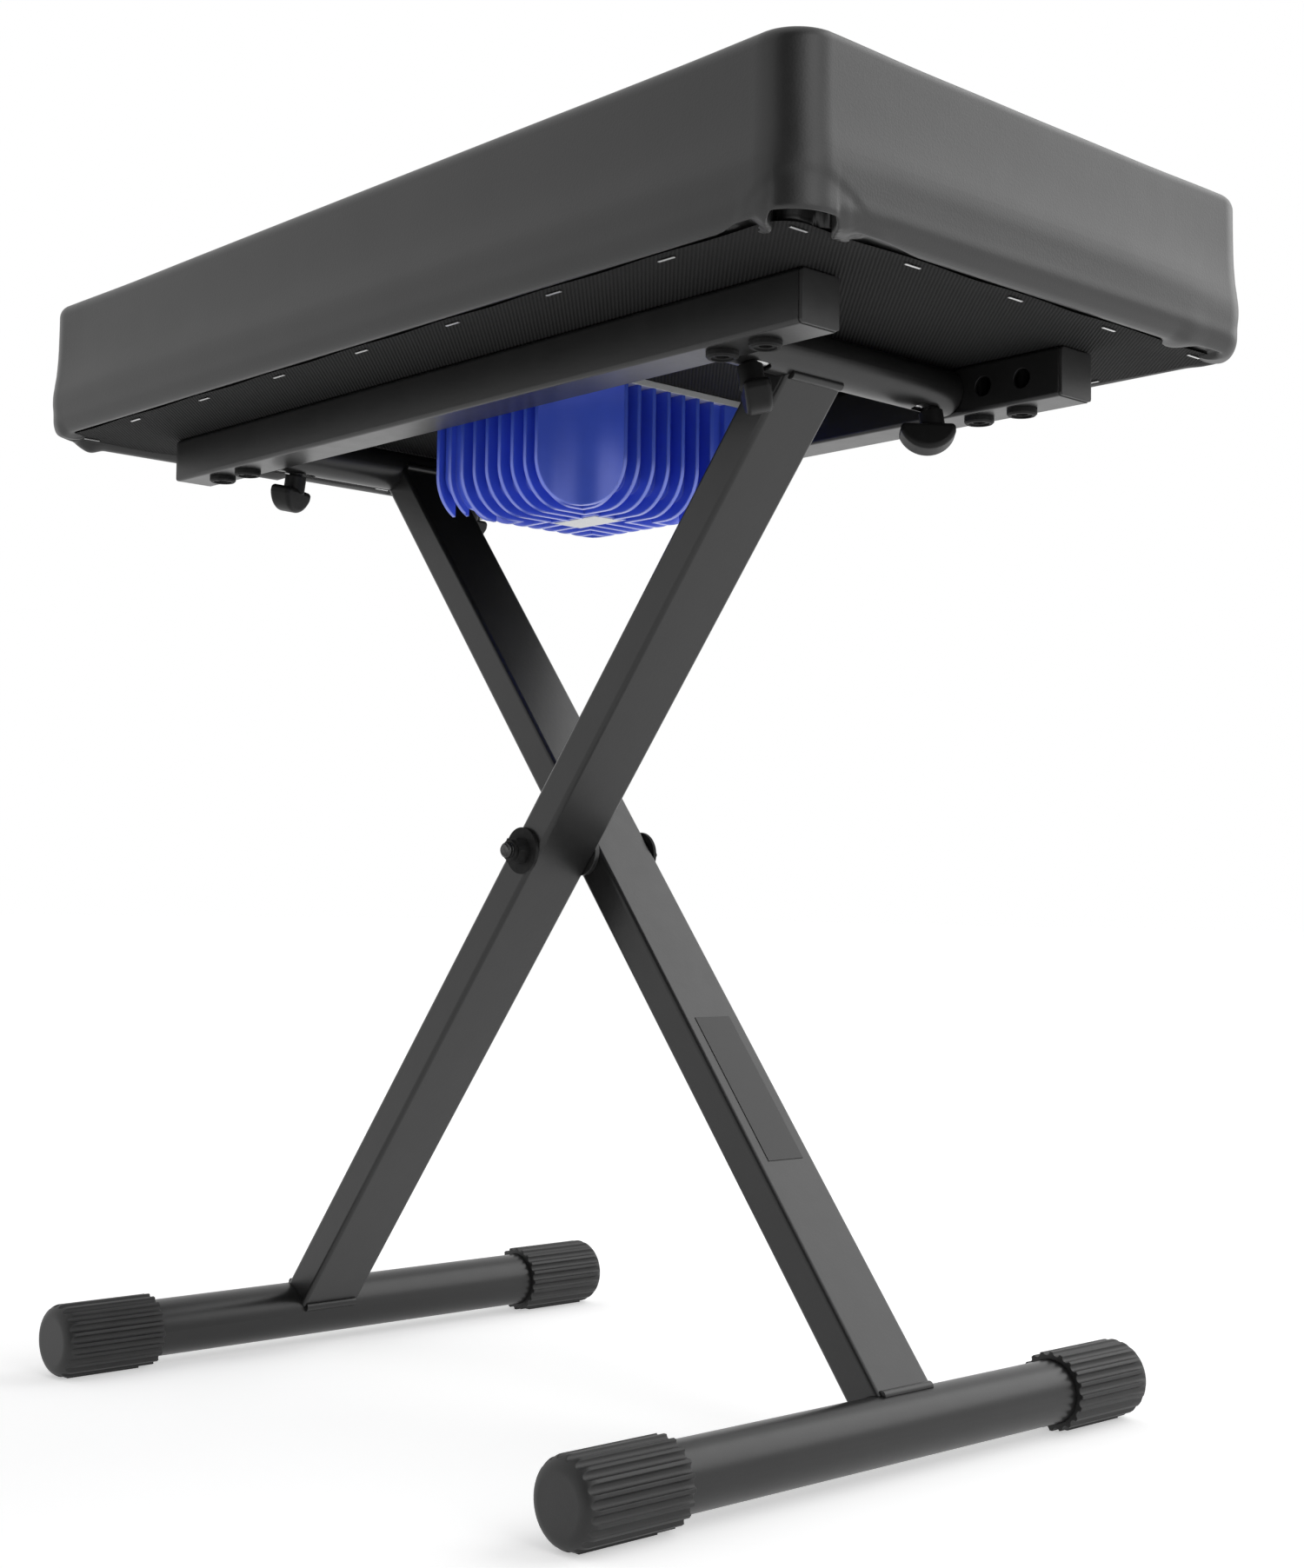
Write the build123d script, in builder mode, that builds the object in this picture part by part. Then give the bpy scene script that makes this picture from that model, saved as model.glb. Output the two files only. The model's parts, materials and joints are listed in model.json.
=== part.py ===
from build123d import *
import os
from math import atan2, cos, degrees, hypot, radians, sin

# Keyboard bench: a padded seat on two rails, carried by a crossed pair of folding legs,
# with a finned vibration unit bolted under the seat.
# Millimetres. Origin on the floor under the middle of the seat, +X along the seat, +Z up.
# Leg A stands on the foot at -X and carries the seat at +X; leg B is leg A turned half a turn about Z.

# Feet
foot_span = 430.0            # between the axes of the two foot tubes
foot_length = 391.0          # over the rubber caps
foot_tube_diameter = 31.8
foot_tube_wall = 1.5
cap_radius = 19.85           # over the ridges
cap_length = 60.0
cap_end_wall = 5.0
cap_edge_radius = 7.0        # round edge of the closed end
groove_count = 20            # along the sides of a cap, between its ridges
groove_radius = 2.3
groove_depth = 1.8
pad_drop = 0.35              # of the narrow flat a cap stands on, below the ridges
pad_width = 9.0
pad_inset = 8.0              # from the cap's ends

# Legs
leg_depth = 40.0             # along Y
leg_thickness = 20.0
leg_wall = 1.5
leg_corner = 2.5
leg_gap = 3.2                # between the two legs
weld_gap = 0.05              # at a saddle, filled by the weld
weld_radius = 2.6

# Top tubes
top_span = 373.6             # between the axes of the two top tubes, at the tallest setting
top_tube_diameter = 24.0
top_tube_wall = 1.5
top_tube_end_gap = 0.5       # to the rail beside each end

# Rails
rail_underside = 518.6       # height above the floor
rail_overhang = 24.4         # from the outermost pin hole to the end of the rail
rail_size = 25.0
rail_wall = 1.5
rail_corner = 2.0
rail_spacing = 186.6         # between the rails' middle lines
rail_cap_flange = 2.0
rail_cap_step = 0.4          # from the rail's faces in to the flange, all round
rail_cap_plug = 12.0
rail_cap_wall = 2.0
setting_count = 3            # pin holes at each end of a rail
setting_pitch = 24.4

# Rail bolts and tee nuts
bolt_diameter = 8.0
bolt_pitch = 27.4
bolt_head_diameter = 15.4
bolt_head_height = 3.2
bolt_head_chamfer = 0.9
bolt_recess_diameter = 10.6
bolt_recess_depth = 0.8
bolt_socket = 6.0            # across the flats
bolt_socket_depth = 1.8
tee_flange_diameter = 19.0
tee_flange_thickness = 1.6
tee_barrel_diameter = 10.0
tee_barrel_length = 11.0

# Seat
seat_length = 630.0
seat_width = 339.0
seat_thickness = 79.0        # from the dust cover's underside to the top
seat_corner = 24.0           # in plan
seat_top_edge = 10.0
seat_bottom_edge = 8.0
vinyl_thickness = 1.2
vinyl_fit = 0.2              # room round the board and the foam
hem_width = 36.0             # turned under the board
board_thickness = 15.0
board_corner = 80.0          # in plan, leaves room for the gathered cover at each corner
dust_cover_thickness = 0.6
dust_inset_x = 15.0          # from the seat's end to the dust cover's edge
dust_inset_y = 10.0
staple_length = 10.0
staple_width = 1.2
staple_thickness = 0.6
staple_inset = 6.0           # from the dust cover's edge
staple_pitch = 75.0
corner_staple_inset = 15.5   # of the last staple at an end, from the dust cover's side

# Pivot
pivot_diameter = 8.0
washer_diameter = 25.0
washer_thickness = 2.0
spacer_diameter = 25.0
nut_flats = 13.0
nut_height = 6.5
nut_collar_diameter = 11.0
nut_collar_height = 1.8
bolt_end = 3.5               # thread beyond the nut
pivot_head_height = 5.3
sleeve_diameter = 14.0

# Plungers, one in each end of a top tube
pin_diameter = 10.0
pin_reach = 6.5              # of leg A's pins, past the rail's inner face
pin_point = 1.0              # chamfer at the tip
open_pin_gap = 0.3           # leg B's pins stop this far short of the rail
plunger_travel = 8.5
slider_length = 23.0
end_bush_length = 3.0
spring_length = 20.0
spring_diameter = 15.0
spring_wire = 1.6
spring_stop_thickness = 4.0

# Knobs
knob_lean = 12.0             # degrees from straight down, away from the middle of the bench
stud_diameter = 8.0
stud_depth = 6.5             # thread inside the slider
knob_stem_diameter = 12.5
knob_gap = 1.0               # between the tube and the knob
knob_stem_length = 8.0
knob_width = 28.0
knob_height = 14.0
knob_thickness = 13.0
knob_shoulder = 4.5          # straight side of the head above its round end
knob_edge = 2.4
knob_turn = {"a_front": 47.0, "a_rear": -43.0, "b_front": 27.0, "b_rear": 10.0}   # degrees from Y

# Vibration unit under the seat
shaker_size = 119.2          # square in plan
shaker_height = 67.5         # with its base plate
shaker_plate = 3.5
shaker_edge = 25.0           # radius where the sides turn into the bottom, over the fins
core_edge = 8.0              # the same under the fins
web_radius = 24.0            # of the filled part at each whole corner
web_depth = 3.5              # of the fins over it
fin_depth = 9.0
fin_thickness = 2.4
fin_count = 9                # on each side
first_fin = 27.6             # from the middle of a side towards its cut-away corner
scallop_radius = 32.2        # of the two cut-away corners
shaker_cavity = 84.0
shaker_floor = 5.0           # bottom wall under the cavity
label_length = 34.0
label_width = 19.0
label_land = 2.0             # flat border round the label
label_thickness = 0.4
shaker_screw_diameter = 5.0
shaker_screw_head = 10.0
shaker_screw_head_height = 3.2
shaker_screw_length = 12.0   # inside the board
shaker_screw_inset = 20.0    # from the plate's corner
shaker_screw_spread = 24.0   # degrees to each side of the diagonal
case_screw_diameter = 4.0
case_screw_head = 7.6
case_screw_sink = 1.9
case_screw_length = 12.0
case_screw_inset = 7.0       # from the two sides at a whole corner
gland_pad = 26.0
gland_diameter = 12.0
gland_flats = 18.0
gland_flange = 5.0
gland_dome = 9.0
gland_bore = 6.0

# Moving parts of the vibration unit
shaft_diameter = 10.0
shaft_seat_depth = 3.0
mass_travel = 2.0
yoke_diameter = 76.0
yoke_height = 28.0
yoke_floor = 8.0
yoke_bore = 58.0
magnet_diameter = 48.0
magnet_height = 13.0
bush_wall = 3.0
coil_diameter = 54.0
coil_wall = 1.6
suspension_diameter = 24.0
suspension_wall = 3.0

# Label place on leg B's upper face
leg_label_length = 88.0
leg_label_width = 25.0
leg_label_thickness = 0.3
leg_label_from_top = 464.0   # its middle, along the leg from the top tube's axis

# Fits
running_fit = 0.05           # radial, sliders and shafts
hinge_fit = 0.08             # radial, leg A's pins in the rails
thread_fit = 0.05            # radial, where a thread is drawn plain
press_fit = 0.02             # radial, pressed plugs and caps
bolt_clearance = 0.25        # radial, bolts through sheet and tube
rub_gap = 0.2                # between flat faces that turn past each other
slot_gap = 0.35              # round a knob's stud in the tube's slot
overcut = 1.0                # how far a cut runs past the face it opens

# Places worked out from the sizes above
foot_axis = cap_radius + pad_drop
groove_circle = cap_radius - groove_depth + groove_radius
top_axis = rail_underside + rail_size / 2
rail_top = rail_underside + rail_size
seat_top = rail_top + seat_thickness
leg_run = (foot_span + top_span) / 2
leg_rise = top_axis - foot_axis
leg_length = hypot(leg_run, leg_rise)
leg_dx = leg_run / leg_length
leg_dz = leg_rise / leg_length
pivot_height = foot_axis + leg_rise * (foot_span / 2) / leg_run
leg_middle = (leg_gap + leg_depth) / 2
leg_outer = leg_gap / 2 + leg_depth
rail_inner = (rail_spacing - rail_size) / 2
top_tube_end = rail_inner - top_tube_end_gap
top_tube_bore = top_tube_diameter - 2 * top_tube_wall
plunger_shoulder = top_tube_end - end_bush_length
slider_end = plunger_shoulder - slider_length
knob_place = plunger_shoulder - slider_length / 2
spring_stop_face = slider_end - spring_length
setting_places = [top_span / 2 + setting_pitch * i for i in range(setting_count)]
rail_length = 2 * (setting_places[-1] + rail_overhang)
bolt_places = [top_span / 2 + setting_pitch / 2 + bolt_pitch * i for i in range(setting_count - 1)]
cover_bottom = rail_top + dust_cover_thickness
board_bottom = cover_bottom + vinyl_thickness
board_top = board_bottom + board_thickness
board_length = seat_length - 2 * (vinyl_thickness + vinyl_fit)
board_width = seat_width - 2 * (vinyl_thickness + vinyl_fit)
dust_length = seat_length - 2 * dust_inset_x
dust_width = seat_width - 2 * dust_inset_y
plate_bottom = rail_top - shaker_plate
shaker_bottom = rail_top - shaker_height
shaker_half = shaker_size / 2
cavity_bottom = shaker_bottom + fin_depth + shaker_floor
fin_pitch = (first_fin + shaker_half - fin_thickness / 2) / (fin_count - 1)
fin_places = [first_fin - fin_pitch * i for i in range(fin_count)]
mass_bottom = (cavity_bottom + plate_bottom - yoke_height) / 2
mass_top = mass_bottom + yoke_height
bush_diameter = shaft_diameter + 2 * (running_fit + bush_wall)
ends = (("front", -1), ("rear", 1))
legs = (("a", 1), ("b", -1))

os.makedirs("parts", exist_ok=True)


def save(piece, name):
    piece.part.label = name
    export_step(piece.part, f"parts/{name}.step")


def across(x, y, z):
    """Plane through a point, facing +Y"""
    return Plane(origin=(x, y, z), x_dir=(1, 0, 0), z_dir=(0, 1, 0))


def seat_block(inset, low):
    """The seat's outer form, drawn in by an inset on every side but the bottom, from a height low"""
    with BuildPart() as block:
        with BuildSketch(Plane.XY.offset(low)):
            RectangleRounded(seat_length - 2 * inset, seat_width - 2 * inset, seat_corner - inset)
        extrude(amount=seat_top - min(inset, vinyl_thickness) - low)
        fillet(block.faces().sort_by(Axis.Z)[-1].edges(), seat_top_edge - inset)
        fillet(block.faces().sort_by(Axis.Z)[0].edges(), seat_bottom_edge - inset)
    return block.part


def rounded_block(half, edge, low):
    """A square block under the vibration unit's plate, with a radius where its sides meet its bottom"""
    with BuildPart() as block:
        for view in (Plane.XZ, Plane.YZ):
            with BuildSketch(view) as profile:
                with Locations((0, (plate_bottom + low) / 2)):
                    Rectangle(2 * half, plate_bottom - low)
                fillet(profile.vertices().group_by(Axis.Y)[0], edge)
            extrude(amount=half, both=True, mode=Mode.ADD if view == Plane.XZ else Mode.INTERSECT)
    return block.part


# Seat: vinyl cover over foam and a board, with a dust cover stapled underneath
seat_form = seat_block(0, cover_bottom)
seat_inside = seat_block(vinyl_thickness, board_bottom)
seat_filling = seat_block(vinyl_thickness + vinyl_fit, board_bottom)
hem_length = seat_length - 2 * hem_width
hem_opening = seat_width - 2 * hem_width
bolt_points = [(sx * x, sy * rail_spacing / 2) for x in bolt_places for sx in (-1, 1) for sy in (-1, 1)]
shaker_screw_points = []
for corner in (-45, 135):
    for spread in (-shaker_screw_spread, shaker_screw_spread):
        towards = radians(corner + 180 + spread)
        corner_x = shaker_half * (1 if corner < 0 else -1)
        shaker_screw_points.append(
            (corner_x + shaker_screw_inset * cos(towards), -corner_x + shaker_screw_inset * sin(towards))
        )

with BuildPart() as vinyl_cover:
    add(seat_form)
    add(seat_inside, mode=Mode.SUBTRACT)
    with BuildSketch(Plane.XY.offset(cover_bottom)):
        Rectangle(hem_length, hem_opening)
    extrude(amount=vinyl_thickness, mode=Mode.SUBTRACT)
save(vinyl_cover, "vinyl_cover")

with BuildPart() as seat_foam:
    add(seat_filling)
    split(bisect_by=Plane.XY.offset(board_top), keep=Keep.TOP)
save(seat_foam, "seat_foam")

with BuildPart() as seat_board:
    add(seat_filling)
    split(bisect_by=Plane.XY.offset(board_top), keep=Keep.BOTTOM)
    with BuildSketch(Plane.XY.offset(board_bottom)):
        RectangleRounded(board_length, board_width, board_corner)
    extrude(amount=board_thickness, mode=Mode.INTERSECT)
    with BuildSketch(Plane.XY.offset(cover_bottom)):
        Rectangle(hem_length - 2 * vinyl_fit, hem_opening - 2 * vinyl_fit)
    extrude(amount=vinyl_thickness)
    with BuildSketch(Plane.XY.offset(board_top)):
        with Locations(*bolt_points):
            Circle(tee_flange_diameter / 2 + press_fit)
    extrude(amount=-tee_flange_thickness, mode=Mode.SUBTRACT)
    with BuildSketch(Plane.XY.offset(board_top)):
        with Locations(*bolt_points):
            Circle(tee_barrel_diameter / 2 + press_fit)
    extrude(amount=cover_bottom - board_top, mode=Mode.SUBTRACT)
    with BuildSketch(Plane.XY.offset(cover_bottom)):
        with Locations(*shaker_screw_points):
            Circle(shaker_screw_diameter / 2 + thread_fit)
    extrude(amount=shaker_screw_length, mode=Mode.SUBTRACT)
save(seat_board, "seat_board")

with BuildPart() as dust_cover:
    with BuildSketch(Plane.XY.offset(rail_top)):
        RectangleRounded(dust_length, dust_width, seat_corner - dust_inset_y)
        with Locations(*bolt_points):
            Circle(bolt_diameter / 2 + bolt_clearance, mode=Mode.SUBTRACT)
        with Locations(*shaker_screw_points):
            Circle(shaker_screw_diameter / 2 + bolt_clearance, mode=Mode.SUBTRACT)
    extrude(amount=dust_cover_thickness)
save(dust_cover, "dust_cover")

staple_x = dust_length / 2 - staple_inset
staple_y = dust_width / 2 - staple_inset
staple_columns = int(2 * (staple_x - staple_pitch / 2) / staple_pitch) // 2
corner_staple_y = dust_width / 2 - corner_staple_inset
staple_rows = round(corner_staple_y / staple_pitch)
with BuildPart() as staples:
    with BuildSketch(Plane.XY.offset(rail_top)):
        for side in (-1, 1):
            for i in range(-staple_columns, staple_columns + 1):
                with Locations((i * staple_pitch, side * staple_y)):
                    Rectangle(staple_length, staple_width)
            for i in range(-staple_rows, staple_rows + 1):
                with Locations((side * staple_x, i * corner_staple_y / staple_rows)):
                    Rectangle(staple_width, staple_length)
    extrude(amount=-staple_thickness)
save(staples, "staples")

# Rails with their end caps, bolted up into tee nuts in the board
tube_length = rail_length - 2 * rail_cap_flange
rail_bore = rail_size - 2 * rail_wall
for end_name, side in ends:
    rail_y = side * rail_spacing / 2
    with BuildPart() as rail:
        with BuildSketch(Plane.YZ.offset(-tube_length / 2)):
            with Locations((rail_y, top_axis)):
                RectangleRounded(rail_size, rail_size, rail_corner)
                RectangleRounded(rail_bore, rail_bore, rail_corner - rail_wall, mode=Mode.SUBTRACT)
        extrude(amount=tube_length)
        with BuildSketch(across(0, side * (rail_inner - overcut), top_axis)):
            for x in setting_places:
                with Locations((x, 0), (-x, 0)):
                    Circle(pin_diameter / 2 + hinge_fit)
        extrude(amount=side * (rail_wall + 2 * overcut), mode=Mode.SUBTRACT)
        with BuildSketch(Plane.XY.offset(rail_underside)):
            for x in bolt_places:
                with Locations((x, rail_y), (-x, rail_y)):
                    Circle(bolt_diameter / 2 + bolt_clearance)
        extrude(amount=rail_size, mode=Mode.SUBTRACT)
    save(rail, f"rail_{end_name}")

plug_size = rail_bore - 2 * press_fit
flange_size = rail_size - 2 * rail_cap_step
with BuildPart() as rail_end_caps:
    for side in (-1, 1):
        for end in (-1, 1):
            inner_face = Plane(origin=(end * tube_length / 2, side * rail_spacing / 2, top_axis),
                               x_dir=(0, 1, 0), z_dir=(end, 0, 0))
            with BuildSketch(inner_face):
                RectangleRounded(flange_size, flange_size, rail_corner - rail_cap_step)
            extrude(amount=rail_cap_flange)
            with BuildSketch(inner_face):
                RectangleRounded(plug_size, plug_size, rail_corner - rail_wall)
                Rectangle(plug_size - 2 * rail_cap_wall, plug_size - 2 * rail_cap_wall, mode=Mode.SUBTRACT)
            extrude(amount=-rail_cap_plug)
save(rail_end_caps, "rail_end_caps")

with BuildPart() as rail_bolts:
    with BuildSketch(Plane.XY.offset(rail_underside)):
        with Locations(*bolt_points):
            Circle(bolt_diameter / 2)
    extrude(amount=board_top - rail_underside)
    with BuildSketch(Plane.XY.offset(rail_underside)):
        with Locations(*bolt_points):
            Circle(bolt_head_diameter / 2)
    extrude(amount=-bolt_head_height)
    chamfer(rail_bolts.faces().sort_by(Axis.Z).group_by(Axis.Z)[0].edges(), bolt_head_chamfer)
    with BuildSketch(Plane.XY.offset(rail_underside - bolt_head_height)):
        with Locations(*bolt_points):
            Circle(bolt_recess_diameter / 2)
    extrude(amount=bolt_recess_depth, mode=Mode.SUBTRACT)
    with BuildSketch(Plane.XY.offset(rail_underside - bolt_head_height + bolt_recess_depth)):
        with Locations(*bolt_points):
            RegularPolygon(bolt_socket / 2, 6, major_radius=False)
    extrude(amount=bolt_socket_depth, mode=Mode.SUBTRACT)
save(rail_bolts, "rail_bolts")

with BuildPart() as tee_nuts:
    with BuildSketch(Plane.XY.offset(board_top)):
        with Locations(*bolt_points):
            Circle(tee_flange_diameter / 2)
    extrude(amount=-tee_flange_thickness)
    with BuildSketch(Plane.XY.offset(board_top)):
        with Locations(*bolt_points):
            Circle(tee_barrel_diameter / 2)
    extrude(amount=-tee_barrel_length)
    with BuildSketch(Plane.XY.offset(board_top)):
        with Locations(*bolt_points):
            Circle(bolt_diameter / 2 + thread_fit)
    extrude(amount=-tee_barrel_length, mode=Mode.SUBTRACT)
save(tee_nuts, "tee_nuts")

# Vibration unit: finned housing on a base plate screwed to the board
case_screw_place = shaker_half - case_screw_inset
case_screw_points = [(sign * case_screw_place, sign * case_screw_place) for sign in (-1, 1)]
scallop_points = [(shaker_half, -shaker_half), (-shaker_half, shaker_half)]
shaker_form = rounded_block(shaker_half, shaker_edge, shaker_bottom)
shaker_core = rounded_block(shaker_half - fin_depth, core_edge, shaker_bottom + fin_depth)
shaker_web = rounded_block(shaker_half - web_depth, shaker_edge - web_depth, shaker_bottom + web_depth)
whole_corners = [(-shaker_half, -shaker_half), (shaker_half, shaker_half)]
outward_sides = (
    ((0, -1, 0), (1, 0, 0)),
    ((1, 0, 0), (0, -1, 0)),
    ((0, 1, 0), (-1, 0, 0)),
    ((-1, 0, 0), (0, 1, 0)),
)

with BuildPart() as scallop_walls:
    add(shaker_form)
    with BuildSketch(Plane.XY.offset(shaker_bottom)):
        with Locations(*scallop_points):
            Circle(scallop_radius + fin_thickness)
    extrude(amount=shaker_height, mode=Mode.INTERSECT)

with BuildPart() as corner_webs:
    add(shaker_web)
    with BuildSketch(Plane.XY.offset(shaker_bottom)):
        with Locations(*whole_corners):
            Circle(web_radius)
    extrude(amount=shaker_height, mode=Mode.INTERSECT)

with BuildPart() as shaker_housing:
    add(shaker_core)
    add(scallop_walls.part)
    add(corner_webs.part)
    # The fins at the two whole corners belong to the front and rear sides and reach back to the next fin
    for outward, along in outward_sides:
        has_corner_fin = outward[0] == 0
        for place in fin_places if has_corner_fin else fin_places[:-1]:
            fin_end = abs(place) - (fin_pitch if place == fin_places[-1] else fin_thickness / 2)
            fin_plane = Plane(origin=(along[0] * place, along[1] * place, 0), x_dir=outward,
                              z_dir=(outward[1], -outward[0], 0))
            with BuildSketch(fin_plane):
                with BuildLine():
                    Line((0, plate_bottom), (shaker_half, plate_bottom))
                    Line((shaker_half, plate_bottom), (shaker_half, shaker_bottom + shaker_edge))
                    RadiusArc((shaker_half, shaker_bottom + shaker_edge),
                              (shaker_half - shaker_edge, shaker_bottom), shaker_edge)
                    Line((shaker_half - shaker_edge, shaker_bottom), (0, shaker_bottom))
                    Line((0, shaker_bottom), (0, plate_bottom))
                make_face()
                with Locations((fin_end + shaker_half, (plate_bottom + shaker_bottom) / 2)):
                    Rectangle(2 * shaker_half, shaker_height, mode=Mode.INTERSECT)
            extrude(amount=fin_thickness / 2, both=True)
    with BuildSketch(Plane.XY.offset(plate_bottom)):
        with Locations(*case_screw_points):
            Circle((case_screw_diameter + fin_thickness) / 2)
    extrude(amount=shaker_bottom + shaker_edge - plate_bottom)
    with BuildSketch(Plane.XY.offset(shaker_bottom + label_thickness)):
        Rectangle(label_length + 2 * label_land, label_width + 2 * label_land)
    extrude(amount=fin_depth)
    with BuildSketch(Plane.XY.offset(shaker_bottom)):
        Rectangle(label_length, label_width)
    extrude(amount=label_thickness, mode=Mode.SUBTRACT)
    with BuildSketch(Plane.YZ.offset(-shaker_half)):
        with Locations((0, (plate_bottom + cavity_bottom) / 2)):
            RectangleRounded(gland_pad, gland_pad, fin_thickness)
    extrude(amount=fin_depth)
    with BuildSketch(Plane.XY.offset(shaker_bottom)):
        with Locations(*scallop_points):
            Circle(scallop_radius)
    extrude(amount=shaker_height, mode=Mode.SUBTRACT)
    with BuildSketch(Plane.XY.offset(cavity_bottom)):
        Circle(shaker_cavity / 2)
    extrude(amount=plate_bottom - cavity_bottom, mode=Mode.SUBTRACT)
    with BuildSketch(Plane.XY.offset(cavity_bottom)):
        Circle(shaft_diameter / 2 + press_fit)
    extrude(amount=-shaft_seat_depth, mode=Mode.SUBTRACT)
    with BuildSketch(Plane.YZ.offset(-shaker_half)):
        with Locations((0, (plate_bottom + cavity_bottom) / 2)):
            Circle(gland_diameter / 2 + thread_fit)
    extrude(amount=shaker_half, mode=Mode.SUBTRACT)
    with BuildSketch(Plane.XY.offset(plate_bottom)):
        with Locations(*case_screw_points):
            Circle(case_screw_diameter / 2 + thread_fit)
    extrude(amount=-case_screw_length, mode=Mode.SUBTRACT)
save(shaker_housing, "shaker_housing")

with BuildPart() as shaker_base_plate:
    with BuildSketch(Plane.XY.offset(plate_bottom)):
        Rectangle(shaker_size, shaker_size)
        with Locations(*shaker_screw_points):
            Circle(shaker_screw_diameter / 2 + bolt_clearance, mode=Mode.SUBTRACT)
        with Locations(*case_screw_points):
            Circle(case_screw_diameter / 2 + bolt_clearance, mode=Mode.SUBTRACT)
    extrude(amount=shaker_plate)
    with BuildSketch(Plane.XY.offset(rail_top)):
        with Locations(*case_screw_points):
            Circle(case_screw_head / 2 + bolt_clearance)
    extrude(amount=-case_screw_sink, mode=Mode.SUBTRACT)
save(shaker_base_plate, "shaker_base_plate")

with BuildPart() as shaker_screws:
    with BuildSketch(Plane.XY.offset(plate_bottom)):
        with Locations(*shaker_screw_points):
            Circle(shaker_screw_diameter / 2)
    extrude(amount=cover_bottom - plate_bottom + shaker_screw_length)
    with BuildSketch(Plane.XY.offset(plate_bottom)):
        with Locations(*shaker_screw_points):
            Circle(shaker_screw_head / 2)
    extrude(amount=-shaker_screw_head_height)
    fillet(shaker_screws.faces().group_by(Axis.Z)[0].edges(), shaker_screw_head_height / 3)
save(shaker_screws, "shaker_screws")

with BuildPart() as shaker_case_screws:
    with BuildSketch(Plane.XY.offset(rail_top)):
        with Locations(*case_screw_points):
            Circle(case_screw_head / 2)
    extrude(amount=-case_screw_sink)
    with BuildSketch(Plane.XY.offset(rail_top)):
        with Locations(*case_screw_points):
            Circle(case_screw_diameter / 2)
    extrude(amount=-shaker_plate - case_screw_length)
save(shaker_case_screws, "shaker_case_screws")

with BuildPart() as shaker_label:
    with BuildSketch(Plane.XY.offset(shaker_bottom)):
        Rectangle(label_length, label_width)
    extrude(amount=label_thickness)
save(shaker_label, "shaker_label")

with BuildPart() as shaker_gland:
    gland_height = (plate_bottom + cavity_bottom) / 2
    gland_face = Plane(origin=(-shaker_half, 0, gland_height), x_dir=(0, 1, 0), z_dir=(-1, 0, 0))
    with BuildSketch(gland_face):
        RegularPolygon(gland_flats / 2, 6, major_radius=False)
    extrude(amount=gland_flange)
    with BuildSketch(gland_face.offset(gland_flange)):
        Circle(gland_diameter / 2 + thread_fit)
    extrude(amount=gland_dome)
    fillet(shaker_gland.faces().sort_by(Axis.X)[0].edges(), gland_bore / 4)
    with BuildSketch(gland_face):
        Circle(gland_diameter / 2)
    extrude(amount=-fin_depth)
    with BuildSketch(gland_face.offset(gland_flange + gland_dome)):
        Circle(gland_bore / 2)
    extrude(amount=-gland_flange - gland_dome - fin_depth, mode=Mode.SUBTRACT)
save(shaker_gland, "shaker_gland")

# Inside the vibration unit: a magnet mass that slides on a shaft between two springs
with BuildPart() as shaker_shaft:
    with BuildSketch(Plane.XY.offset(cavity_bottom - shaft_seat_depth)):
        Circle(shaft_diameter / 2)
    extrude(amount=plate_bottom - cavity_bottom + shaft_seat_depth)
save(shaker_shaft, "shaker_shaft")

with BuildPart() as shaker_yoke:
    with BuildSketch(Plane.XY.offset(mass_bottom)):
        Circle(yoke_diameter / 2)
        Circle(bush_diameter / 2 + press_fit, mode=Mode.SUBTRACT)
    extrude(amount=yoke_height)
    with BuildSketch(Plane.XY.offset(mass_top)):
        Circle(yoke_bore / 2)
    extrude(amount=yoke_floor - yoke_height, mode=Mode.SUBTRACT)
save(shaker_yoke, "shaker_yoke")

with BuildPart() as shaker_magnet:
    with BuildSketch(Plane.XY.offset(mass_bottom + yoke_floor)):
        Circle(magnet_diameter / 2)
        Circle(bush_diameter / 2 + press_fit, mode=Mode.SUBTRACT)
    extrude(amount=magnet_height)
save(shaker_magnet, "shaker_magnet")

with BuildPart() as shaker_pole_plate:
    with BuildSketch(Plane.XY.offset(mass_bottom + yoke_floor + magnet_height)):
        Circle(magnet_diameter / 2)
        Circle(bush_diameter / 2 + press_fit, mode=Mode.SUBTRACT)
    extrude(amount=yoke_height - yoke_floor - magnet_height)
save(shaker_pole_plate, "shaker_pole_plate")

with BuildPart() as shaker_bush:
    with BuildSketch(Plane.XY.offset(mass_bottom)):
        Circle(bush_diameter / 2)
        Circle(shaft_diameter / 2 + running_fit, mode=Mode.SUBTRACT)
    extrude(amount=yoke_height)
save(shaker_bush, "shaker_bush")

with BuildPart() as shaker_coil:
    with BuildSketch(Plane.XY.offset(plate_bottom)):
        Circle(coil_diameter / 2)
        Circle(coil_diameter / 2 - coil_wall, mode=Mode.SUBTRACT)
    extrude(amount=mass_bottom + yoke_floor + mass_travel + overcut - plate_bottom)
save(shaker_coil, "shaker_coil")

with BuildPart() as shaker_springs:
    for low, high in ((cavity_bottom, mass_bottom), (mass_top, plate_bottom)):
        with BuildSketch(Plane.XY.offset(low)):
            Circle(suspension_diameter / 2)
            Circle(suspension_diameter / 2 - suspension_wall, mode=Mode.SUBTRACT)
        extrude(amount=high - low)
save(shaker_springs, "shaker_springs")

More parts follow.
